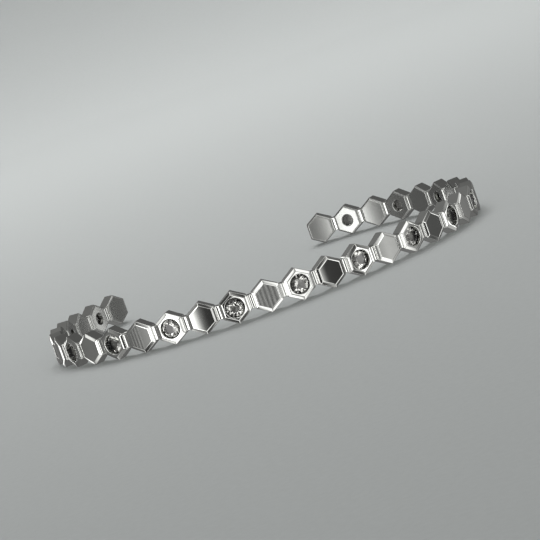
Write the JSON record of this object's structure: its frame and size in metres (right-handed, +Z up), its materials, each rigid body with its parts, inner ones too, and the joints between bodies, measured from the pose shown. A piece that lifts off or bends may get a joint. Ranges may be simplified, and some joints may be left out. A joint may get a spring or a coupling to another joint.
{
  "type": "honeycomb cuff bracelet",
  "caption": "Slim oval cuff of hexagonal polished links joined side to side, every second one set with a round clear crystal, open at the back to slip over a wrist.",
  "frame": {"origin": "middle of the bracelet's box, on the surface it lies on", "axes": "+Z up along the axis of the oval, +X along the oval's length, -Y towards the front link, +Y towards the opening of the cuff"},
  "size_m": [0.062, 0.0474, 0.0044],
  "materials": {
    "polished_plating": "mirror polished bright plating",
    "clear_crystal": "brilliant cut, polished facets"
  },
  "bodies": {
    "root": {"band": "polished_plating", "crystal_01": "clear_crystal", "crystal_02": "clear_crystal", "crystal_03": "clear_crystal", "crystal_04": "clear_crystal", "crystal_05": "clear_crystal", "crystal_06": "clear_crystal", "crystal_07": "clear_crystal", "crystal_08": "clear_crystal", "crystal_09": "clear_crystal", "crystal_10": "clear_crystal", "crystal_11": "clear_crystal", "crystal_12": "clear_crystal", "crystal_13": "clear_crystal", "crystal_14": "clear_crystal", "crystal_15": "clear_crystal", "crystal_16": "clear_crystal"}
  },
  "joints": []
}
